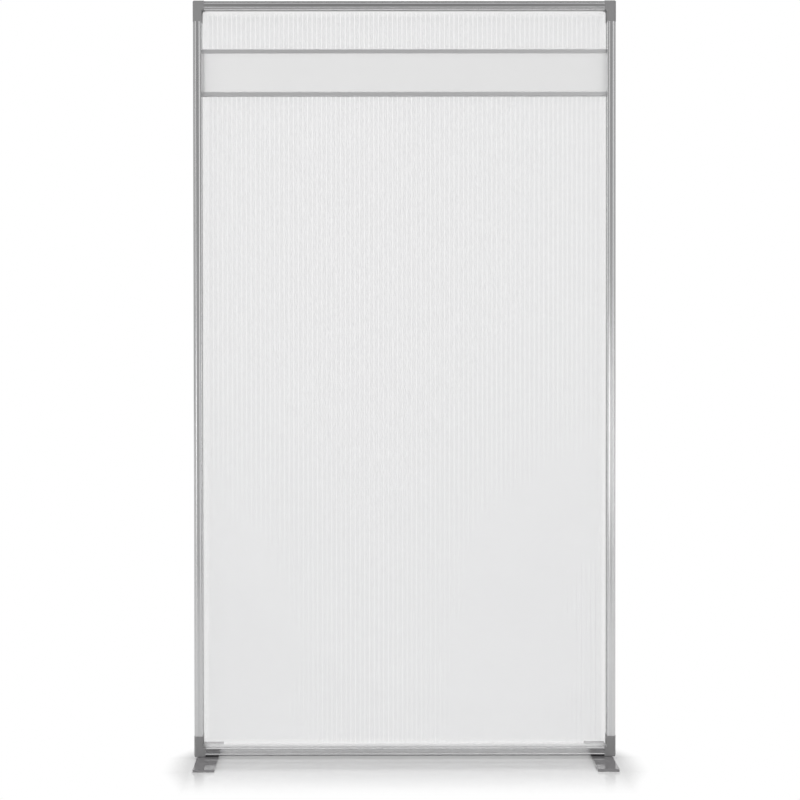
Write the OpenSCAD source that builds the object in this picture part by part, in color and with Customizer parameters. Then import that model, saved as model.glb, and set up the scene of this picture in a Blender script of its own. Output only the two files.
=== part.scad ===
// Free-standing room divider: a framed sheet screen on two flat foot plates.
// The origin is on the floor under the middle of the screen, +Z is up and the front faces -Y.

/* [Overall] */
// Width over the corner connectors
total_w = 1000; // [700:10:1400]
// Height above the floor, foot plates included
total_h = 1795; // [1200:5:2200]

/* [Extrusions] */
// Width of an extrusion's face, seen from the front
profile_w = 20; // [19:0.5:24]
// Depth of an extrusion, front to back
profile_d = 40; // [36:1:60]
// Wall thickness of an extrusion
profile_wall = 1.8; // [1.4:0.1:2.0]
// Width of the steep taper along each outer edge, seen from the front
outer_taper_w = 4; // [2.4:0.1:4.6]
// Depth of the taper along each outer edge, front to back
outer_taper_deep = 8.6; // [6:0.1:11]
// Rounding between the taper and the face
outer_taper_round = 0.5; // [0.3:0.1:1.5]
// Rounding of the two inner long edges
inner_round = 1; // [0.5:0.5:2.5]
// Middle of the groove along each face, from the outer edge
face_groove_at = 11.1; // [10.5:0.1:11.8]
// Width of the groove along each face, halfway down its walls
face_groove_w = 8.6; // [6:0.1:9.4]
// Depth of the groove along each face
face_groove_deep = 0.8; // [0.3:0.1:0.9]
// Radius of the two arcs that make each wall of the groove
face_groove_round = 1.2; // [0.8:0.1:1.4]
// Depth of the slot that holds the sheets
slot_deep = 11; // [9:0.5:12]

/* [Corner connectors] */
// How far a connector stands proud of the extrusions, all round
corner_proud = 0.4; // [0.2:0.1:2]
// How far a connector's upright leg runs past its level leg
corner_reach_v = 27.8; // [12:0.2:60]
// How far a connector's level leg runs past its upright leg
corner_reach_h = 6.2; // [5:0.2:40]
// Rounding of the outer long edges of a connector's level leg
corner_edge_round = 2; // [1:0.5:2.5]
// Rounding of a connector's outer corner, seen from the front
corner_tip_round = 2.5; // [1:0.5:4]
// Fillet between a connector's two legs, seen from the front
corner_fillet = 4.5; // [2:0.5:5]
// Length of each spigot that plugs into an extrusion
spigot_len = 40; // [30:1:80]
// Gap between a spigot and its extrusion, on each side
spigot_clear = 0.15; // [0.1:0.05:0.3]

/* [Sheets] */
// Thickness of the twin-wall sheets and of the band
sheet_t = 10; // [8:1:12]
// Skin thickness of the twin-wall sheet
skin_t = 0.6; // [0.4:0.1:1]
// Thickness of a rib between the skins
rib_t = 0.5; // [0.3:0.1:1]
// Distance from rib to rib
rib_pitch = 11.2; // [8:0.2:16]
// Gap between a sheet and its slot or pocket, on each face
sheet_clear = 0.3; // [0.1:0.05:0.5]
// Gap between a sheet's side edge and the slot floor
sheet_side_gap = 1.5; // [0.5:0.5:3]
// Gap above the upper sheet, which lets it be lifted in
sheet_top_gap = 1.5; // [0.5:0.5:3]
// Visible height of the solid band
band_h = 90.5; // [40:0.5:300]

/* [Dividers] */
// Height of a divider's face
divider_h = 10; // [8:0.5:16]
// Thickness of a divider's web, between the two sheets
divider_web = 1.5; // [1:0.1:2.5]
// Thickness of a divider's flanges
divider_flange = 1.5; // [1.2:0.1:3]
// Chamfer of a flange's outer edges
divider_chamfer = 0.8; // [0.3:0.1:1]
// Gap between a divider's end and the upright
divider_end_gap = 0.8; // [0.3:0.1:2]
// Middle of the upper divider, below the top of the screen
divider_drop = 118; // [60:1:400]

/* [Foot plates] */
// Width of a foot plate
foot_w = 50; // [40:1:90]
// Length of a foot plate, front to back
foot_len = 300; // [200:10:500]
// Thickness of a foot plate
foot_t = 6; // [5:0.5:10]
// Distance from the screen's outer edge to the foot plate
foot_inset = 8; // [0:0.5:8.5]
// Rounding of a foot plate's corners
foot_round = 3; // [1:0.5:10]

/* [Fasteners] */
// Distance of the foot screws from the screen's outer edge
foot_screw_in = 18; // [17:0.5:21]
// Distance of each foot screw from the middle plane of the screen
foot_screw_off = 13; // [11:0.5:14]
// Diameter of the foot screws
foot_screw_d = 6; // [5:1:6]
// Diameter of the foot screws' countersunk heads
foot_head_d = 12; // [11:0.5:12]
// Depth of a foot screw's head below the foot plate's underside
foot_head_deep = 0.3; // [0.2:0.1:0.5]
// How far a foot screw reaches into the connector
foot_screw_grip = 12; // [8:1:14]
// Outer diameter of the threaded inserts
insert_d = 8.2; // [8:0.1:9]
// Diameter of the locking screws
lock_screw_d = 3.5; // [3:0.1:4]
// Diameter of the locking screws' countersunk heads
lock_head_d = 6; // [5.5:0.1:6]
// Depth of a locking screw's head below the slot floor
lock_head_deep = 0.1; // [0.05:0.05:0.2]
// Distance of a locking screw from the end of its extrusion
lock_in = 20; // [10:1:26]
// Gap round a screw's shank, in its thread or clearance hole
thread_clear = 0.05; // [0.03:0.01:0.1]
// Gap round a screw's shank in the piece that its head clamps
shank_clear = 0.3; // [0.1:0.05:0.4]

/* [Hidden] */
$fn = 64;
// Overshoot of a cut past the face it opens
over = 1;
// Gap past the tip of a screw
tip_gap = 0.5;
// Depth and width across flats of a screw's drive socket, as shares of its head
socket_deep_share = 0.16;
socket_wide_share = 0.36;
// Sides of a hexagonal socket
socket_sides = 6;

frame_h = total_h - foot_t;

// Legs of a connector, measured from its outer corner
leg_w = profile_w + 2 * corner_proud;
corner_leg_v = leg_w + corner_reach_v;
corner_leg_h = leg_w + corner_reach_h;
connector_d = profile_d + 2 * corner_proud;

upright_len = frame_h - 2 * corner_leg_v;
rail_len = total_w - 2 * corner_leg_h;
opening_w = total_w - 2 * (corner_proud + profile_w);

// Angle between the face and the taper of an extrusion
taper_tilt = atan(outer_taper_deep / outer_taper_w);

// Slot and chamber of an extrusion, measured from its outer face
slot_w = sheet_t + 2 * sheet_clear;
slot_floor = profile_w - slot_deep;
slot_floor_in = corner_proud + slot_floor;

// Heights of the faces that the sheets stand on and reach up to
slot_bottom_z = foot_t + slot_floor_in;
slot_top_z = total_h - slot_floor_in;
upper_divider_z = total_h - divider_drop;
lower_divider_z = upper_divider_z - band_h - divider_h;
sheet_w = opening_w + 2 * (slot_deep - sheet_side_gap);
divider_len = opening_w - 2 * divider_end_gap;
rib_pairs = floor((sheet_w - rib_t) / (2 * rib_pitch) + 0.5);

lock_screw_len = slot_floor - lock_head_deep - profile_wall - spigot_clear - tip_gap;

aluminium = "#C3C4C5";
corner_grey = "#838283";
sheet_white = "#F0F0F2";
band_grey = "#DEDEDE";
foot_grey = "#757475";
zinc = "#B9BBBD";
brass = "#C9A656";

// Sides of the screen and ends of the frame
left = -1;
right = 1;
bottom = -1;
top = 1;

// Rectangle from x = 0 to w, centred on y = 0, with rounded corners at both ends
module rounded_plate(w, d, round_start, round_end) {
    for (side = [-1, 1]) {
        translate([round_start, side * (d / 2 - round_start)]) circle(r = round_start);
        translate([w - round_end, side * (d / 2 - round_end)]) circle(r = round_end);
    }
    translate([round_start, -d / 2]) square([w - round_start - round_end, d]);
    translate([0, round_start - d / 2]) square([round_start, d - 2 * round_start]);
    translate([w - round_end, round_end - d / 2]) square([round_end, d - 2 * round_end]);
}

// A line of points and its mirror image across y = 0, as one closed outline
function mirrored_outline(points) = concat(
    [for (point = points) [point.x, -point.y]],
    [for (i = [len(points) - 1 : -1 : 0]) points[i]]
);

// Section from x = 0 to w, centred on y = 0, tapered towards x = 0 and rounded at x = w
module tapered_plate(w, d, round_end) {
    run = outer_taper_round * tan(taper_tilt / 2);
    for (side = [-1, 1]) {
        translate([outer_taper_w + run, side * (d / 2 - outer_taper_round)])
            circle(r = outer_taper_round);
        translate([w - round_end, side * (d / 2 - round_end)]) circle(r = round_end);
    }
    polygon(mirrored_outline([
        [0, d / 2 - outer_taper_deep],
        [outer_taper_w - run * cos(taper_tilt), d / 2 - run * sin(taper_tilt)],
        [outer_taper_w + run, d / 2],
        [w - round_end, d / 2],
        [w, d / 2 - round_end]
    ]));
}

// The chamber inside an extrusion, drawn in by a clearance: it runs round the slot as a C
module chamber_section(clear = 0) {
    inset = profile_wall + clear;
    half_d = profile_d / 2 - inset;
    difference() {
        polygon(mirrored_outline([
            [inset, profile_d / 2 - outer_taper_deep - inset * tan(45 - taper_tilt / 2)],
            [outer_taper_w + inset * tan(taper_tilt / 2), half_d],
            [profile_w - inset, half_d]
        ]));
        translate([slot_floor - inset, -slot_w / 2 - inset])
            square([slot_deep + 2 * inset, slot_w + 2 * inset]);
    }
}

// Section of the groove in a face at y = 0: a flat floor, and walls that are S-curves of two arcs
module face_groove() {
    half_w = face_groove_w / 2;
    wall_tilt = acos(1 - face_groove_deep / (2 * face_groove_round));
    run = face_groove_round * sin(wall_tilt);
    difference() {
        union() {
            polygon([
                [-half_w - run, over],
                [-half_w - run, 0],
                [-half_w, -face_groove_deep / 2],
                [run - half_w, -face_groove_deep],
                [half_w - run, -face_groove_deep],
                [half_w, -face_groove_deep / 2],
                [half_w + run, 0],
                [half_w + run, over]
            ]);
            for (wall = [-1, 1])
                translate([wall * (half_w - run), face_groove_round - face_groove_deep])
                    circle(r = face_groove_round);
        }
        for (wall = [-1, 1])
            translate([wall * (half_w + run), -face_groove_round]) circle(r = face_groove_round);
    }
}

// Section of an extrusion: x runs from its outer face to its inner face, y from front to back
module extrusion_section() {
    difference() {
        tapered_plate(profile_w, profile_d, inner_round);
        chamber_section();
        translate([slot_floor, -slot_w / 2]) square([slot_deep + over, slot_w]);
        for (turn = [0, 1]) mirror([0, turn, 0])
            translate([face_groove_at, profile_d / 2]) face_groove();
    }
}

// Turns a section so that it runs along +X, with its outer face down
module along_x(length) {
    mirror([0, 0, 1]) rotate([0, 90, 0]) linear_extrude(length) children();
}

// Moves a shape from the corner frame to its corner. In the corner frame the origin is the
// screen's outer corner and the two legs run along +X and +Z.
module at_corner(side, end) {
    translate([side * total_w / 2, 0, end == top ? total_h : foot_t])
        mirror([side == right ? 1 : 0, 0, 0])
            mirror([0, 0, end == top ? 1 : 0])
                children();
}

// Places a shape whose axis is +Z, pointing out of the slot, on the upright's slot floor
module at_upright_lock() {
    translate([slot_floor_in, 0, corner_leg_v + lock_in]) rotate([0, 90, 0]) children();
}

// The same on the rail's slot floor
module at_rail_lock() {
    translate([corner_leg_h + lock_in, 0, slot_floor_in]) children();
}

// Countersunk hole below z = 0: its cone opens to the head and is deeper by the head's recess
module countersunk_hole(head_d, head_deep, hole_d, depth) {
    mouth_r = head_d / 2 + head_deep;
    cone_deep = mouth_r - hole_d / 2;
    translate([0, 0, -depth]) cylinder(r = hole_d / 2, h = depth + over);
    translate([0, 0, -cone_deep]) cylinder(r1 = hole_d / 2, r2 = mouth_r, h = cone_deep);
}

// Countersunk screw below z = 0, with a hexagonal socket in its head
module countersunk_screw(head_d, head_deep, shank_d, length) {
    cone_deep = (head_d - shank_d) / 2;
    socket_deep = head_d * socket_deep_share;
    translate([0, 0, -head_deep]) difference() {
        union() {
            translate([0, 0, -cone_deep]) cylinder(r1 = shank_d / 2, r2 = head_d / 2, h = cone_deep);
            translate([0, 0, -length]) cylinder(r = shank_d / 2, h = length - cone_deep);
        }
        translate([0, 0, -socket_deep])
            cylinder(d = head_d * socket_wide_share, h = socket_deep + over, $fn = socket_sides);
    }
}

module upright(side) {
    color(aluminium) difference() {
        at_corner(side, bottom)
            translate([corner_proud, 0, corner_leg_v]) linear_extrude(upright_len) extrusion_section();
        for (end = [bottom, top]) at_corner(side, end) at_upright_lock()
            countersunk_hole(lock_head_d, lock_head_deep, lock_screw_d + 2 * shank_clear,
                profile_wall + over);
    }
}

module rail(end) {
    color(aluminium) difference() {
        at_corner(left, end)
            translate([corner_leg_h, 0, corner_proud]) along_x(rail_len) extrusion_section();
        for (side = [left, right]) at_corner(side, end) at_rail_lock()
            countersunk_hole(lock_head_d, lock_head_deep, lock_screw_d + 2 * shank_clear,
                profile_wall + over);
    }
}

// Outline of a connector's two legs, seen from the front
module corner_outline() {
    difference() {
        union() {
            translate([corner_tip_round, corner_tip_round]) circle(r = corner_tip_round);
            translate([0, corner_tip_round]) square([leg_w, corner_leg_v - corner_tip_round]);
            translate([corner_tip_round, 0]) square([corner_leg_h - corner_tip_round, leg_w]);
            translate([leg_w, leg_w]) square(corner_fillet);
        }
        translate([leg_w + corner_fillet, leg_w + corner_fillet]) circle(r = corner_fillet);
    }
}

// Solid part of a connector, in the corner frame, with the slot for the sheets cut through it.
// Its upright leg is tapered like the extrusions and its level leg has rounded edges; the far ends
// of both edge sections lie past the legs.
module corner_body() {
    reach = max(corner_leg_v, corner_leg_h) + over;
    past_reach = reach + corner_edge_round;
    difference() {
        intersection() {
            translate([0, connector_d / 2, 0]) rotate([90, 0, 0])
                linear_extrude(connector_d) corner_outline();
            linear_extrude(reach) tapered_plate(past_reach, connector_d, corner_edge_round);
            along_x(reach)
                rounded_plate(past_reach, connector_d, corner_edge_round, corner_edge_round);
        }
        translate([slot_floor_in, -slot_w / 2, slot_floor_in]) cube([reach, slot_w, reach]);
    }
}

// Connector in the corner frame: body, two spigots and the pilot holes of its locking screws
module corner_connector() {
    difference() {
        union() {
            corner_body();
            translate([corner_proud, 0, corner_leg_v])
                linear_extrude(spigot_len) chamber_section(spigot_clear);
            translate([corner_leg_h, 0, corner_proud])
                along_x(spigot_len) chamber_section(spigot_clear);
        }
        at_upright_lock() lock_pilot();
        at_rail_lock() lock_pilot();
    }
}

// Pilot hole of a locking screw, right through the spigot
module lock_pilot() {
    translate([0, 0, -slot_floor]) cylinder(d = lock_screw_d + 2 * thread_clear, h = slot_floor);
}

module top_corner(side) {
    color(corner_grey) at_corner(side, top) corner_connector();
}

// A bottom connector also has the blind holes that hold the threaded inserts
module bottom_corner(side) {
    color(corner_grey) difference() {
        at_corner(side, bottom) corner_connector();
        at_foot_screws(side) translate([0, 0, foot_t - over])
            cylinder(d = insert_d, h = foot_screw_grip + tip_gap + over);
    }
}

// Level section of a twin-wall sheet: two skins and the ribs between them, open at the sides
module twin_wall_section() {
    for (face = [-1, 1])
        translate([-sheet_w / 2, face * (sheet_t - skin_t) / 2 - skin_t / 2])
            square([sheet_w, skin_t]);
    for (side = [-1, 1], pair = [0 : rib_pairs - 1])
        translate([side * (pair + 0.5) * rib_pitch - rib_t / 2, -sheet_t / 2])
            square([rib_t, sheet_t]);
}

module twin_wall_sheet(low_z, high_z) {
    color(sheet_white) translate([0, 0, low_z])
        linear_extrude(high_z - low_z) twin_wall_section();
}

module lower_infill() {
    twin_wall_sheet(slot_bottom_z, lower_divider_z - divider_web / 2);
}

module upper_infill() {
    twin_wall_sheet(upper_divider_z + divider_web / 2, slot_top_z - sheet_top_gap);
}

module band() {
    low_z = lower_divider_z + divider_web / 2;
    high_z = upper_divider_z - divider_web / 2;
    color(band_grey) translate([-sheet_w / 2, -sheet_t / 2, low_z])
        cube([sheet_w, sheet_t, high_z - low_z]);
}

// H-section: a chamfered block less the two pockets that hold the sheets' edges
module divider_section() {
    half_h = divider_h / 2;
    half_d = slot_w / 2 + divider_flange;
    difference() {
        polygon([
            [half_h - divider_chamfer, half_d],
            [divider_chamfer - half_h, half_d],
            [-half_h, half_d - divider_chamfer],
            [-half_h, divider_chamfer - half_d],
            [divider_chamfer - half_h, -half_d],
            [half_h - divider_chamfer, -half_d],
            [half_h, divider_chamfer - half_d],
            [half_h, half_d - divider_chamfer]
        ]);
        for (pocket = [divider_web / 2, -divider_h - divider_web / 2])
            translate([pocket, -slot_w / 2]) square([divider_h, slot_w]);
    }
}

module divider(mid_z) {
    color(aluminium) translate([-divider_len / 2, 0, mid_z])
        along_x(divider_len) divider_section();
}

module upper_divider() {
    divider(upper_divider_z);
}

module lower_divider() {
    divider(lower_divider_z);
}

// Places a shape on the floor at each of one foot plate's two screws
module at_foot_screws(side) {
    for (face = [-1, 1])
        translate([side * (total_w / 2 - foot_screw_in), face * foot_screw_off, 0]) children();
}

module foot_plate(side) {
    mid_x = side * (total_w / 2 - foot_inset - foot_w / 2);
    color(foot_grey) difference() {
        translate([mid_x - foot_w / 2, 0, 0]) linear_extrude(foot_t)
            rounded_plate(foot_w, foot_len, foot_round, foot_round);
        at_foot_screws(side) mirror([0, 0, 1])
            countersunk_hole(foot_head_d, foot_head_deep, foot_screw_d + 2 * shank_clear,
                foot_t + over);
    }
}

module foot_screws(side) {
    color(zinc) at_foot_screws(side) mirror([0, 0, 1])
        countersunk_screw(foot_head_d, foot_head_deep, foot_screw_d,
            foot_t + foot_screw_grip - foot_head_deep);
}

module foot_inserts(side) {
    color(brass) at_foot_screws(side) translate([0, 0, foot_t]) difference() {
        cylinder(d = insert_d, h = foot_screw_grip);
        translate([0, 0, -over])
            cylinder(d = foot_screw_d + 2 * thread_clear, h = foot_screw_grip + 2 * over);
    }
}

module locking_screws(side, end) {
    color(zinc) at_corner(side, end) {
        at_upright_lock() countersunk_screw(lock_head_d, lock_head_deep, lock_screw_d, lock_screw_len);
        at_rail_lock() countersunk_screw(lock_head_d, lock_head_deep, lock_screw_d, lock_screw_len);
    }
}

upright(left);  // left_upright
upright(right);  // right_upright
rail(top);  // top_rail
rail(bottom);  // bottom_rail
top_corner(left);  // top_left_corner
top_corner(right);  // top_right_corner
bottom_corner(left);  // bottom_left_corner
bottom_corner(right);  // bottom_right_corner
lower_infill();
upper_infill();
band();
lower_divider();
upper_divider();
foot_plate(left);  // left_foot_plate
foot_plate(right);  // right_foot_plate
foot_screws(left);  // left_foot_screws
foot_screws(right);  // right_foot_screws
foot_inserts(left);  // left_foot_inserts
foot_inserts(right);  // right_foot_inserts
locking_screws(left, top);  // top_left_locking_screws
locking_screws(right, top);  // top_right_locking_screws
locking_screws(left, bottom);  // bottom_left_locking_screws
locking_screws(right, bottom);  // bottom_right_locking_screws
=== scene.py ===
"""Looks of a free-standing room divider: finishes, rounded edges, floor, light and camera."""

import math

import bmesh
import bpy
from bpy.props import FloatProperty, FloatVectorProperty, IntProperty, PointerProperty
from mathutils import Euler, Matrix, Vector


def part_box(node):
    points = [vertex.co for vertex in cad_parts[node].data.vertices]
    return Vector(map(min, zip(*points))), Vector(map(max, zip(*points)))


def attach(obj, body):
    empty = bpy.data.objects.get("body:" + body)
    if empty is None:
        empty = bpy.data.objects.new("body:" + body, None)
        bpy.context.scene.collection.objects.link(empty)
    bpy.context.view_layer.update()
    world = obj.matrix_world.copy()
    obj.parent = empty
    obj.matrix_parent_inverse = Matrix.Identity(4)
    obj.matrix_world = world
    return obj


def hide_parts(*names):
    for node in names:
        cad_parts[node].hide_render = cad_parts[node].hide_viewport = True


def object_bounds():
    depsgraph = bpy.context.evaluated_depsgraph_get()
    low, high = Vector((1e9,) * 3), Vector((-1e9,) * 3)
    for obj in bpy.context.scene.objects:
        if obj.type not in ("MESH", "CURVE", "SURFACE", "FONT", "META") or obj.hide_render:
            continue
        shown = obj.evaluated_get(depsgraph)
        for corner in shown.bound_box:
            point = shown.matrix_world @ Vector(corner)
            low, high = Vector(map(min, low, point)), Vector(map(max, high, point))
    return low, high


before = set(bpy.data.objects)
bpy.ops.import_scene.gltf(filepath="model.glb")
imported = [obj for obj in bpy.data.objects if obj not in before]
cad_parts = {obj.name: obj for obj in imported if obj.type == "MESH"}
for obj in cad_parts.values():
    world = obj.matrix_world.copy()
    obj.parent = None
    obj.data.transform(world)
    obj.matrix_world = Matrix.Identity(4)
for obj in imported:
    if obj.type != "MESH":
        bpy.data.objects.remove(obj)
CAD_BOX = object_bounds()

bl_info = {
    "name": "Room Divider",
    "version": (1, 0, 0),
    "blender": (4, 5, 0),
    "location": "View3D > Sidebar > Room Divider",
    "description": "Dresses a framed sheet screen and sets up its studio",
    "category": "Object",
}

BODY = "root"
MM = 0.001

UPRIGHTS = ("left_upright", "right_upright")
RAILS = ("top_rail", "bottom_rail")
DIVIDERS = ("upper_divider", "lower_divider")
CONNECTORS = (
    "top_left_corner",
    "top_right_corner",
    "bottom_left_corner",
    "bottom_right_corner",
)
TWIN_WALL_SHEETS = ("upper_infill", "lower_infill")
FOOT_PLATES = ("left_foot_plate", "right_foot_plate")
STEEL_SCREWS = (
    "left_foot_screws",
    "right_foot_screws",
    "top_left_locking_screws",
    "top_right_locking_screws",
    "bottom_left_locking_screws",
    "bottom_right_locking_screws",
)
BRASS_INSERTS = ("left_foot_inserts", "right_foot_inserts")


def colour_property(name, description, default):
    """A plain linear colour for a finish."""
    return FloatVectorProperty(
        name=name, description=description, default=default, subtype="COLOR", min=0, max=1
    )


def length_property(name, description, default):
    """A length in metres, shown in the scene's own unit."""
    return FloatProperty(
        name=name, description=description, default=default, unit="LENGTH", min=0, precision=5
    )


def place_property(name, description, default):
    """A place in the divider's own frame."""
    return FloatVectorProperty(
        name=name,
        description=description,
        default=default,
        subtype="TRANSLATION",
        unit="LENGTH",
    )


def angle_property(name, description, degrees):
    """An angle of the camera, given in degrees."""
    return FloatProperty(
        name=name, description=description, default=math.radians(degrees), subtype="ANGLE"
    )


def share_property(name, description, default):
    """A share or a roughness from 0 to 1."""
    return FloatProperty(
        name=name, description=description, default=default, subtype="FACTOR", min=0, max=1
    )


def level_property(name, description, default):
    """A brightness of the studio, where 1 is white."""
    return FloatProperty(name=name, description=description, default=default, min=0)


class FinishSettings(bpy.types.PropertyGroup):
    """Colours and gloss of the divider's materials."""

    aluminium: colour_property(
        "Aluminium", "Anodised aluminium of the frame", (0.64, 0.64, 0.645)
    )
    aluminium_roughness: share_property(
        "Aluminium Roughness", "Roughness of the anodised surface", 0.19
    )
    connector: colour_property(
        "Connectors", "Moulded plastic of the corner connectors", (0.22, 0.218, 0.22)
    )
    divider: colour_property(
        "Dividers", "Matt anodised aluminium of the dividers", (0.65, 0.65, 0.655)
    )
    divider_roughness: share_property(
        "Divider Roughness", "Roughness of the dividers' matt surface", 0.45
    )
    twin_wall: colour_property(
        "Twin-Wall Sheet", "Translucent white sheet", (0.80, 0.80, 0.815)
    )
    twin_wall_clear: share_property(
        "Twin-Wall Clearness", "Share of light that passes each skin surface undisturbed", 0.85
    )
    twin_wall_clear_rib: share_property(
        "Twin-Wall Clearness on Ribs",
        "The same share on the ribs, which look brighter than the chambers",
        0.90,
    )
    twin_wall_clear_edge: share_property(
        "Twin-Wall Clearness at Edges", "The same share along the frame", 0.90
    )
    band: colour_property("Band", "Solid light-grey band", (0.72, 0.72, 0.72))
    foot: colour_property("Feet", "Powder-coated steel of the foot plates", (0.20, 0.196, 0.20))
    zinc: colour_property("Screws", "Zinc-plated screws", (0.55, 0.56, 0.58))
    brass: colour_property("Inserts", "Brass of the threaded inserts", (0.72, 0.53, 0.24))


class EdgeSettings(bpy.types.PropertyGroup):
    """Rounding that moulding, coating and handling leave on the edges."""

    connector_edge: length_property(
        "Connector Edges", "Rounding of a moulded connector's edges", 0.5 * MM
    )
    foot_edge: length_property(
        "Foot Plate Edges", "Rounding of a coated foot plate's edges", 0.8 * MM
    )
    edge_steps: IntProperty(
        name="Edge Steps", description="Faces across each rounded edge", default=3, min=1, max=8
    )


class StageSettings(bpy.types.PropertyGroup):
    """Floor, light and camera."""

    camera_place: place_property(
        "Camera Place", "Where the camera stands", (-0.082, -4.528, 1.0245)
    )
    camera_pitch: angle_property("Camera Pitch", "How far the camera looks up", -0.747)
    camera_yaw: angle_property("Camera Yaw", "How far the camera turns to the right", 0.179)
    camera_roll: angle_property("Camera Roll", "How far the camera leans to the right", 0.062)
    focal_length: FloatProperty(
        name="Focal Length", description="Lens on a 36 mm sensor, in millimetres", default=85.83
    )
    shift_x: FloatProperty(name="Shift X", description="Sideways lens shift", default=0.03)
    shift_y: FloatProperty(name="Shift Y", description="Upright lens shift", default=-0.06)
    floor: colour_property("Floor", "Glossy white studio floor", (0.86, 0.86, 0.86))
    floor_back: length_property("Floor Back", "How far the floor reaches behind", 12.0)
    floor_front: length_property("Floor Front", "How far the floor reaches to the front", 2.7)
    floor_width: length_property("Floor Width", "Width of the floor", 24.0)
    fade_sideways: length_property(
        "Fade Sideways", "Distance beside the feet over which the floor turns pure white", 0.068
    )
    fade_forward: length_property(
        "Fade Forward", "Distance before the feet over which the floor turns pure white", 0.23
    )
    fade_backward: length_property(
        "Fade Backward", "Distance behind the screen over which the floor turns pure white", 0.16
    )
    mirrored_share: share_property(
        "Mirrored Share", "How much of the floor's pure white the metal and gloss reflect", 0.4
    )
    backdrop_level: level_property("Backdrop Level", "Brightness of the backdrop behind", 1.0)
    studio_level: level_property(
        "Studio Level", "Brightness in front, below eye level", 0.42
    )
    ceiling_level: level_property("Ceiling Level", "Brightness in front, higher up", 0.26)
    left_level: level_property("Left Level", "Brightness of the wall on the left", 1.4)
    right_level: level_property("Right Level", "Brightness of the wall on the right", 1.1)
    rear_level: level_property(
        "Rear Level", "Brightness of the walls beside the backdrop", 0.5
    )
    overhead_level: level_property(
        "Overhead Level", "Brightness of the soft light overhead", 2.6
    )
    key_power: FloatProperty(
        name="Key Power",
        description="Power of the narrow lamp on the left",
        default=60,
        unit="POWER",
    )
    key_place: place_property("Key Place", "Where the narrow lamp stands", (-2.65, -4.75, 0.95))
    key_width: length_property("Key Width", "Width of the narrow lamp", 0.5)
    key_height: length_property("Key Height", "Height of the narrow lamp", 1.9)
    fill_power: FloatProperty(
        name="Fill Power",
        description="Power of the wide lamp on the right",
        default=18,
        unit="POWER",
    )
    fill_place: place_property("Fill Place", "Where the wide lamp stands", (2.4, -4.2, 0.5))
    fill_width: length_property("Fill Width", "Width of the wide lamp", 2.2)
    fill_height: length_property("Fill Height", "Height of the wide lamp", 0.9)


class Nodes:
    """Short calls that build one node tree."""

    def __init__(self, tree):
        self.tree = tree
        tree.nodes.clear()

    def add(self, kind, inputs=None, **values):
        """Adds a node, sets its fields, and sets or links its inputs."""
        node = self.tree.nodes.new(kind)
        for field, value in values.items():
            setattr(node, field, value)
        for name, value in (inputs or {}).items():
            self.set(node.inputs[name], value)
        return node

    def set(self, socket, value):
        """Links a socket to another, or gives it a constant."""
        if isinstance(value, bpy.types.NodeSocket):
            self.tree.links.new(value, socket)
        else:
            socket.default_value = value

    def math(self, operation, first, second=0.0):
        """One math node."""
        return self.add("ShaderNodeMath", {0: first, 1: second}, operation=operation).outputs[0]

    def blend(self, factor, low, high):
        """A number between two numbers or sockets."""
        node = self.add("ShaderNodeMix", {0: factor, 2: low, 3: high}, data_type="FLOAT")
        return node.outputs[0]

    def blend_colour(self, factor, low, high):
        """A colour between two colours or sockets."""
        inputs = {0: factor, 6: opaque(low), 7: opaque(high)}
        return self.add("ShaderNodeMix", inputs, data_type="RGBA").outputs[2]

    def uneven(self, factor, colour, low, high):
        """A colour that varies between low and high times itself."""
        return self.blend_colour(
            factor, [low * c for c in colour], [min(1.0, high * c) for c in colour]
        )

    def mix_shaders(self, factor, first, second):
        """The first shader where factor is 0, and the second where it is 1."""
        return self.add(
            "ShaderNodeMixShader", {0: factor, 1: first.outputs[0], 2: second.outputs[0]}
        )

    def ramp(self, value, low, high, start=0.0, end=1.0):
        """A smooth step of value from low to high, as a number from start to end."""
        node = self.add(
            "ShaderNodeMapRange",
            {"Value": value, "From Min": low, "From Max": high, "To Min": start, "To Max": end},
            interpolation_type="SMOOTHSTEP",
        )
        return node.outputs["Result"]

    def place(self):
        """The point's place in the divider's own frame, in metres."""
        return self.add("ShaderNodeTexCoord").outputs["Object"]

    def stretched(self, place, scale):
        """The place with each axis scaled, for grain that runs one way."""
        node = self.add("ShaderNodeVectorMath", {0: place, 1: scale}, operation="MULTIPLY")
        return node.outputs["Vector"]

    def noise(self, place, scale, detail=2.0, roughness=0.5):
        """Smooth random values from 0 to 1."""
        node = self.add(
            "ShaderNodeTexNoise",
            {"Vector": place, "Scale": scale, "Detail": detail, "Roughness": roughness},
        )
        return node.outputs["Fac"]

    def bump(self, height, distance, normal=None):
        """A normal from a height from 0 to 1, distance metres deep."""
        node = self.add(
            "ShaderNodeBump", {"Height": height, "Distance": distance, "Strength": 1.0}
        )
        if normal is not None:
            self.set(node.inputs["Normal"], normal)
        return node.outputs["Normal"]


def opaque(colour):
    """A colour with full alpha, or a socket as it is."""
    if isinstance(colour, bpy.types.NodeSocket):
        return colour
    return (*tuple(colour)[:3], 1.0)


def make_material(name):
    """An empty node material and its tree helper."""
    material = bpy.data.materials.new(name)
    material.use_nodes = True
    return material, Nodes(material.node_tree)


def finish_material(nodes, inputs):
    """Ends a material in one main shader."""
    shader = nodes.add("ShaderNodeBsdfPrincipled", inputs)
    nodes.add("ShaderNodeOutputMaterial", {"Surface": shader.outputs[0]})


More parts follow.
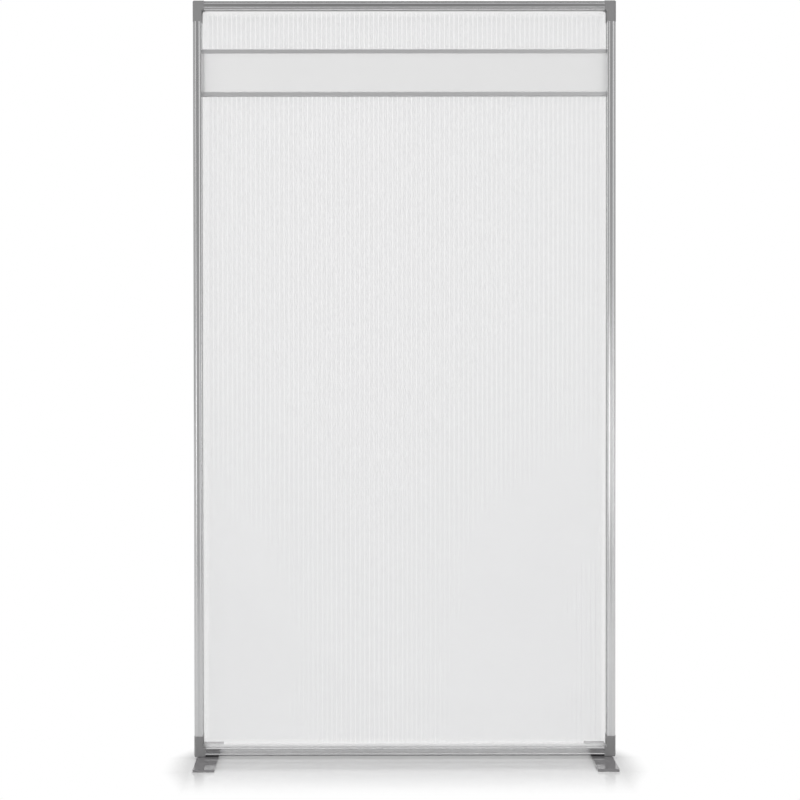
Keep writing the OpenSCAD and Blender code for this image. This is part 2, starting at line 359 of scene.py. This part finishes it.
def satin_aluminium(name, along, base, roughness):
    """Anodised extruded aluminium, with fine die lines along one axis of the frame."""
    across = 2600.0
    lengthwise = 3.0
    cloud_share = 0.5
    roughness_spread = 0.03
    material, nodes = make_material(name)
    place = nodes.place()
    scale = [across] * 3
    scale["XYZ".index(along)] = lengthwise
    lines = nodes.noise(nodes.stretched(place, scale), scale=1.0, roughness=0.6)
    cloud = nodes.noise(place, scale=9.0, detail=3.0)
    colour = nodes.uneven(nodes.blend(cloud_share, lines, cloud), base, low=0.93, high=1.06)
    tangent = nodes.add(
        "ShaderNodeCombineXYZ", {axis: 1.0 if axis == along else 0.0 for axis in "XYZ"}
    )
    finish_material(nodes, {
        "Base Color": colour,
        "Metallic": 1.0,
        "Roughness": nodes.blend(
            lines, low=roughness - roughness_spread, high=roughness + roughness_spread
        ),
        "Anisotropic": 0.5,
        "Anisotropic Rotation": 0.25,
        "Tangent": tangent.outputs[0],
        "Normal": nodes.bump(lines, distance=0.002 * MM),
    })
    return material


def connector_plastic(finish):
    """Mid-grey moulded plastic with a fine spark-eroded grain."""
    material, nodes = make_material("moulded_plastic")
    place = nodes.place()
    grain = nodes.noise(place, scale=2400.0, detail=3.0, roughness=0.6)
    cloud = nodes.noise(place, scale=22.0)
    finish_material(nodes, {
        "Base Color": nodes.uneven(cloud, finish.connector, low=0.95, high=1.05),
        "Roughness": nodes.blend(grain, low=0.40, high=0.52),
        "Specular IOR Level": 0.4,
        "Normal": nodes.bump(grain, distance=0.02 * MM),
    })
    return material


def rib_lines(nodes, x, pitch, half_width):
    """1 on the ribs of a twin-wall sheet and 0 between them; a chamber is centred on x = 0."""
    phase = nodes.math("FRACT", nodes.math("DIVIDE", x, pitch))
    off_phase = nodes.math("ABSOLUTE", nodes.math("SUBTRACT", phase, 0.5))
    off_rib = nodes.math("MULTIPLY", off_phase, pitch)
    return nodes.ramp(off_rib, 0.0, half_width, 1.0, 0.0)


def framed_edges(nodes, x, z):
    """1 on a sheet where it meets the frame round it, falling to 0 further in: where light is
    painted onto the sheet against the frame's shade.
    """
    reach = 22 * MM
    half_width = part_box("right_upright")[0][0]
    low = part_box("bottom_rail")[1][2]
    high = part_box("top_rail")[0][2]
    beside = nodes.math("SUBTRACT", half_width, nodes.math("ABSOLUTE", x))
    inside = nodes.math("MINIMUM", nodes.math("SUBTRACT", z, low), nodes.math("SUBTRACT", high, z))
    return nodes.ramp(nodes.math("MINIMUM", beside, inside), 0.0, reach, 1.0, 0.0)


def twin_wall_sheet(finish):
    """Translucent white twin-wall sheet, clearer on its ribs than between them, with painted
    highlights on the ribs and painted light along the frame.
    """
    rib_pitch = 11.2 * MM
    rib_half_width = 2.0 * MM
    faint_below = 0.3
    bright_above = 1.2
    core_share = 0.5
    haze_reach = 10 * MM
    material, nodes = make_material("twin_wall_sheet")
    place = nodes.place()
    parts = nodes.add("ShaderNodeSeparateXYZ", {0: place})
    x = parts.outputs["X"]
    z = parts.outputs["Z"]
    ribs = rib_lines(nodes, x, rib_pitch, rib_half_width)
    # Painted highlight: the ribs are drawn brighter higher up and fainter towards the bottom.
    rib_highlight_by_height = nodes.ramp(z, faint_below, bright_above, start=0.05, end=0.85)
    ribs = nodes.math("MULTIPLY", ribs, rib_highlight_by_height)
    edges = framed_edges(nodes, x, z)
    # Painted light: the colour is blended to white on the ribs and along the frame.
    painted_light = nodes.math("MAXIMUM", ribs, edges)
    cloud = nodes.noise(place, scale=5.0)
    body = nodes.uneven(cloud, finish.twin_wall, low=0.985, high=1.01)
    colour = nodes.blend_colour(painted_light, body, (1.0, 1.0, 1.0))
    ripple = nodes.noise(nodes.stretched(place, (20.0, 20.0, 3.0)), scale=1.0, detail=1.0)
    skin = nodes.add("ShaderNodeBsdfPrincipled", {
        "Base Color": colour,
        "Roughness": 0.28,
        "IOR": 1.5,
        "Normal": nodes.bump(ripple, distance=0.05 * MM),
    })
    core = nodes.add("ShaderNodeBsdfTranslucent", {"Color": colour})
    plastic = nodes.mix_shaders(core_share, skin, core)
    clear = nodes.add("ShaderNodeBsdfTransparent")
    see_through = nodes.blend(ribs, finish.twin_wall_clear, finish.twin_wall_clear_rib)
    # The clearer share along the frame also lightens the sheet there, by letting more of the white
    # backdrop through against the frame's shade.
    see_through = nodes.blend(edges, see_through, finish.twin_wall_clear_edge)
    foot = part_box("bottom_rail")[1][2]
    haze = nodes.ramp(z, foot, foot + haze_reach, start=0.6, end=1.0)
    see_through = nodes.math("MULTIPLY", see_through, haze)
    sheet = nodes.mix_shaders(see_through, plastic, clear)
    nodes.add("ShaderNodeOutputMaterial", {"Surface": sheet.outputs[0]})
    return material


def band_sheet(finish):
    """Smooth rigid light-grey board."""
    material, nodes = make_material("band_sheet")
    place = nodes.place()
    cloud = nodes.noise(place, scale=6.0, detail=3.0)
    grain = nodes.noise(place, scale=1800.0)
    finish_material(nodes, {
        "Base Color": nodes.uneven(cloud, finish.band, low=0.985, high=1.01),
        "Roughness": nodes.blend(grain, low=0.42, high=0.50),
        "Specular IOR Level": 0.35,
        "Normal": nodes.bump(grain, distance=0.01 * MM),
    })
    return material


def coated_steel(finish):
    """Dark grey semi-gloss powder coat with a fine orange peel."""
    grain_share = 0.3
    material, nodes = make_material("coated_steel")
    place = nodes.place()
    peel = nodes.noise(place, scale=520.0)
    grain = nodes.noise(place, scale=2600.0)
    cloud = nodes.noise(place, scale=14.0)
    speckle = nodes.blend(grain_share, cloud, grain)
    fine_normal = nodes.bump(grain, distance=0.001 * MM)
    finish_material(nodes, {
        "Base Color": nodes.uneven(speckle, finish.foot, low=0.92, high=1.08),
        "Roughness": nodes.blend(grain, low=0.05, high=0.08),
        "IOR": 1.5,
        "Normal": nodes.bump(peel, distance=0.003 * MM, normal=fine_normal),
    })
    return material


def plated_metal(name, colour, roughness):
    """Plated or turned small metal part, a little uneven."""
    roughness_spread = 0.06
    material, nodes = make_material(name)
    cloud = nodes.noise(nodes.place(), scale=300.0, detail=3.0)
    finish_material(nodes, {
        "Base Color": nodes.uneven(cloud, colour, low=0.9, high=1.06),
        "Metallic": 1.0,
        "Roughness": nodes.blend(
            cloud, low=roughness - roughness_spread, high=roughness + roughness_spread
        ),
    })
    return material


def dress(node, material):
    """Gives a CAD node's object a finished material."""
    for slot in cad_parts[node].material_slots:
        slot.material = material


def rounded_copy(node, name, material, width, steps):
    """Makes a piece with the node's own shape and rounded edges, which replaces the node."""
    sharp = math.radians(20)
    flat = math.radians(1)
    weld = 0.001 * MM
    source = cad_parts[node]
    mesh = bmesh.new()
    mesh.from_mesh(source.data)
    mesh.transform(source.matrix_world)
    bmesh.ops.remove_doubles(mesh, verts=mesh.verts, dist=weld)
    bmesh.ops.dissolve_limit(mesh, angle_limit=flat, verts=mesh.verts, edges=mesh.edges)
    edges = [e for e in mesh.edges if len(e.link_faces) == 2 and e.calc_face_angle() > sharp]
    bmesh.ops.bevel(
        mesh,
        geom=edges,
        offset=width,
        segments=steps,
        profile=0.5,
        affect="EDGES",
        clamp_overlap=True,
    )
    low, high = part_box(node)
    for vertex in mesh.verts:
        vertex.co = [min(max(c, a), b) for c, a, b in zip(vertex.co, low, high)]
    bmesh.ops.recalc_face_normals(mesh, faces=mesh.faces)
    data = bpy.data.meshes.new(name)
    mesh.to_mesh(data)
    mesh.free()
    piece = bpy.data.objects.new(name, data)
    bpy.context.scene.collection.objects.link(piece)
    data.materials.append(material)
    data.shade_smooth()
    piece.modifiers.new("flat_faces", "WEIGHTED_NORMAL")
    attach(piece, BODY)
    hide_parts(node)


class DIVIDER_OT_extrusions(bpy.types.Operator):
    """Finish the two uprights and the two rails"""

    bl_idname = "room_divider.extrusions"
    bl_label = "Finish Extrusions"

    def execute(self, context):
        finish = context.scene.divider_finish
        upright = satin_aluminium(
            "satin_aluminium", "Z", finish.aluminium, finish.aluminium_roughness
        )
        rail = satin_aluminium(
            "satin_aluminium_rails", "X", finish.aluminium, finish.aluminium_roughness
        )
        for node in UPRIGHTS:
            dress(node, upright)
        for node in RAILS:
            dress(node, rail)
        return {"FINISHED"}


class DIVIDER_OT_dividers(bpy.types.Operator):
    """Finish the two dividers between the sheets"""

    bl_idname = "room_divider.dividers"
    bl_label = "Finish Dividers"

    def execute(self, context):
        finish = context.scene.divider_finish
        material = satin_aluminium("matt_aluminium", "X", finish.divider, finish.divider_roughness)
        for node in DIVIDERS:
            dress(node, material)
        return {"FINISHED"}


class DIVIDER_OT_connectors(bpy.types.Operator):
    """Make the four corner connectors with moulded, rounded edges"""

    bl_idname = "room_divider.connectors"
    bl_label = "Make Connectors"

    def execute(self, context):
        edges = context.scene.divider_edges
        material = connector_plastic(context.scene.divider_finish)
        for node in CONNECTORS:
            rounded_copy(
                node,
                node + "_moulding",
                material,
                edges.connector_edge,
                edges.edge_steps,
            )
        return {"FINISHED"}


class DIVIDER_OT_sheets(bpy.types.Operator):
    """Finish the twin-wall sheets and the solid band"""

    bl_idname = "room_divider.sheets"
    bl_label = "Finish Sheets"

    def execute(self, context):
        finish = context.scene.divider_finish
        sheet = twin_wall_sheet(finish)
        for node in TWIN_WALL_SHEETS:
            dress(node, sheet)
        dress("band", band_sheet(finish))
        return {"FINISHED"}


class DIVIDER_OT_feet(bpy.types.Operator):
    """Make the two foot plates with coated, rounded edges"""

    bl_idname = "room_divider.feet"
    bl_label = "Make Feet"

    def execute(self, context):
        edges = context.scene.divider_edges
        material = coated_steel(context.scene.divider_finish)
        for node in FOOT_PLATES:
            rounded_copy(
                node, node + "_coated", material, edges.foot_edge, edges.edge_steps
            )
        return {"FINISHED"}


class DIVIDER_OT_fasteners(bpy.types.Operator):
    """Finish the screws and the threaded inserts"""

    bl_idname = "room_divider.fasteners"
    bl_label = "Finish Fasteners"

    def execute(self, context):
        finish = context.scene.divider_finish
        zinc = plated_metal("zinc_steel", finish.zinc, roughness=0.34)
        brass = plated_metal("insert_brass", finish.brass, roughness=0.30)
        for node in STEEL_SCREWS:
            dress(node, zinc)
        for node in BRASS_INSERTS:
            dress(node, brass)
        return {"FINISHED"}


def floor_material(stage):
    """Glossy white floor: shaded near the feet, with painted shade beside them, and pure white
    further out.

    The camera and rays through the sheets see the whole white, and reflections a share of it.
    """
    shade = 0.8
    shade_from = 50 * MM
    shade_to = 10 * MM
    material, nodes = make_material("studio_floor")
    parts = nodes.add("ShaderNodeSeparateXYZ", {0: nodes.place()})
    high = CAD_BOX[1]
    sideways = nodes.math("ABSOLUTE", parts.outputs["X"])
    backward = parts.outputs["Y"]
    forward = nodes.math("MULTIPLY", backward, -1.0)
    distance = 0.0
    for along, start, reach in (
        (sideways, high[0], stage.fade_sideways),
        (forward, high[1], stage.fade_forward),
        (backward, 0.0, stage.fade_backward),
    ):
        beyond = nodes.math("DIVIDE", nodes.math("SUBTRACT", along, start), reach)
        distance = nodes.math("ADD", nodes.math("MAXIMUM", beyond, 0.0), distance)
    # Painted shade: the floor's colour is darker from the feet outwards.
    painted_shade_beside_feet = nodes.ramp(sideways, high[0] - shade_from, high[0] + shade_to)
    shader = nodes.add("ShaderNodeBsdfPrincipled", {
        "Base Color": nodes.blend_colour(painted_shade_beside_feet, stage.floor, [shade * c for c in stage.floor]),
        "Roughness": 0.14,
        "IOR": 1.5,
    })
    white = nodes.add("ShaderNodeEmission", {"Color": (1, 1, 1, 1), "Strength": 1.0})
    path = nodes.add("ShaderNodeLightPath")
    seen = nodes.math("MAXIMUM", path.outputs["Is Camera Ray"], path.outputs["Is Transmission Ray"])
    mirrored = nodes.math("MULTIPLY", path.outputs["Is Glossy Ray"], stage.mirrored_share)
    seen = nodes.math("MAXIMUM", seen, mirrored)
    fade = nodes.math("MULTIPLY", nodes.ramp(distance, 0.0, 1.0), seen)
    floor = nodes.mix_shaders(fade, shader, white)
    nodes.add("ShaderNodeOutputMaterial", {"Surface": floor.outputs[0]})
    return material


def make_floor(stage):
    """The studio floor, flush with the underside of the feet."""
    half = stage.floor_width / 2
    front = -stage.floor_front
    back = stage.floor_back
    data = bpy.data.meshes.new("floor")
    corners = [(-half, front, 0), (half, front, 0), (half, back, 0), (-half, back, 0)]
    data.from_pydata(corners, [], [(0, 1, 2, 3)])
    data.materials.append(floor_material(stage))
    floor = bpy.data.objects.new("floor", data)
    bpy.context.scene.collection.objects.link(floor)


def make_world(stage):
    """A white backdrop behind, white walls at the sides, and a soft light overhead.

    Each pair of values says where one part of the studio passes into the next, as the share
    of a direction that points up, to the back or to the side.
    """
    backdrop_rim = (0.80, 0.95)
    backdrop_top = (0.35, 0.50)
    eye_level = (-0.05, 0.12)
    wall_top = (0.35, 0.60)
    wall_front = (0.08, 0.42)
    wall_rear = (-0.1, 0.45)
    overhead_rim = (0.80, 0.97)
    world = bpy.data.worlds.new("studio")
    world.use_nodes = True
    nodes = Nodes(world.node_tree)
    direction = nodes.add("ShaderNodeTexCoord").outputs["Generated"]
    parts = nodes.add("ShaderNodeSeparateXYZ", {0: direction})
    height = parts.outputs["Z"]
    behind = nodes.ramp(parts.outputs["Y"], *backdrop_rim)
    backdrop = nodes.math("MULTIPLY", behind, nodes.ramp(height, *backdrop_top, 1.0, 0.0))
    studio = nodes.ramp(height, *eye_level, stage.studio_level, stage.ceiling_level)
    low = nodes.ramp(height, *wall_top, 1.0, 0.0)
    for side, level in ((-1.0, stage.left_level), (1.0, stage.right_level)):
        beside = nodes.ramp(nodes.math("MULTIPLY", parts.outputs["X"], side), *wall_front)
        wall = nodes.ramp(parts.outputs["Y"], *wall_rear, level, stage.rear_level)
        studio = nodes.blend(nodes.math("MULTIPLY", beside, low), studio, wall)
    overhead = nodes.ramp(height, *overhead_rim, 0.0, stage.overhead_level)
    level = nodes.blend(backdrop, nodes.math("ADD", studio, overhead), stage.backdrop_level)
    path = nodes.add("ShaderNodeLightPath")
    seen = nodes.math("MAXIMUM", path.outputs["Is Camera Ray"], path.outputs["Is Transmission Ray"])
    level = nodes.blend(seen, level, 1.0)
    background = nodes.add("ShaderNodeBackground", {"Color": (1, 1, 1, 1), "Strength": level})
    nodes.add("ShaderNodeOutputWorld", {"Surface": background.outputs[0]})
    bpy.context.scene.world = world


def make_lamp(name, place, width, height, power):
    """An area lamp that faces the divider and that the camera doesn't see."""
    data = bpy.data.lights.new(name, "AREA")
    data.shape = "RECTANGLE"
    data.size = width
    data.size_y = height
    data.energy = power
    lamp = bpy.data.objects.new(name, data)
    lamp.location = place
    aim = Vector((-place[0], -place[1], 0.0))
    lamp.rotation_euler = aim.to_track_quat("-Z", "Y").to_euler()
    lamp.visible_camera = False
    bpy.context.scene.collection.objects.link(lamp)
    return lamp


def make_camera(stage):
    """The camera at the photograph's viewing angle."""
    data = bpy.data.cameras.new("camera")
    data.sensor_width = 36.0
    data.lens = stage.focal_length
    data.shift_x = stage.shift_x
    data.shift_y = stage.shift_y
    camera = bpy.data.objects.new("camera", data)
    camera.location = stage.camera_place
    level = Euler((math.pi / 2 + stage.camera_pitch, 0.0, -stage.camera_yaw), "XYZ").to_quaternion()
    lean = Euler((0.0, 0.0, -stage.camera_roll), "XYZ").to_quaternion()
    camera.rotation_mode = "QUATERNION"
    camera.rotation_quaternion = level @ lean
    bpy.context.scene.collection.objects.link(camera)
    bpy.context.scene.camera = camera


class DIVIDER_OT_stage(bpy.types.Operator):
    """Make the floor, the light and the camera"""

    bl_idname = "room_divider.stage"
    bl_label = "Make Stage"

    def execute(self, context):
        stage = context.scene.divider_stage
        make_camera(stage)
        make_floor(stage)
        make_world(stage)
        key = make_lamp(
            "key_lamp", stage.key_place, stage.key_width, stage.key_height, stage.key_power
        )
        key.visible_glossy = False
        make_lamp(
            "fill_lamp", stage.fill_place, stage.fill_width, stage.fill_height, stage.fill_power
        )
        context.scene.view_settings.view_transform = "Standard"
        return {"FINISHED"}


class DIVIDER_PT_panel(bpy.types.Panel):
    """Room divider settings and steps"""

    bl_idname = "DIVIDER_PT_panel"
    bl_label = "Room Divider"
    bl_space_type = "VIEW_3D"
    bl_region_type = "UI"
    bl_category = "Room Divider"

    def draw(self, context):
        layout = self.layout
        scene = context.scene
        for group in (scene.divider_finish, scene.divider_edges, scene.divider_stage):
            box = layout.box()
            for name in group.bl_rna.properties.keys():
                if name not in {"rna_type", "name"}:
                    box.prop(group, name)
        for operator in OPERATORS:
            layout.operator(operator.bl_idname)


OPERATORS = (
    DIVIDER_OT_extrusions,
    DIVIDER_OT_dividers,
    DIVIDER_OT_connectors,
    DIVIDER_OT_sheets,
    DIVIDER_OT_feet,
    DIVIDER_OT_fasteners,
    DIVIDER_OT_stage,
)
CLASSES = (FinishSettings, EdgeSettings, StageSettings, *OPERATORS, DIVIDER_PT_panel)


def register():
    """Registers the classes and puts their settings on the scene."""
    for cls in CLASSES:
        bpy.utils.register_class(cls)
    bpy.types.Scene.divider_finish = PointerProperty(type=FinishSettings)
    bpy.types.Scene.divider_edges = PointerProperty(type=EdgeSettings)
    bpy.types.Scene.divider_stage = PointerProperty(type=StageSettings)


def unregister():
    """Takes the settings and the classes away again."""
    del bpy.types.Scene.divider_stage
    del bpy.types.Scene.divider_edges
    del bpy.types.Scene.divider_finish
    for cls in reversed(CLASSES):
        bpy.utils.unregister_class(cls)


def main():
    """Dresses the divider, piece by piece, and builds its stage."""
    register()
    bpy.ops.room_divider.extrusions()
    bpy.ops.room_divider.dividers()
    bpy.ops.room_divider.connectors()
    bpy.ops.room_divider.sheets()
    bpy.ops.room_divider.feet()
    bpy.ops.room_divider.fasteners()
    bpy.ops.room_divider.stage()


if __name__ == "__main__":
    main()
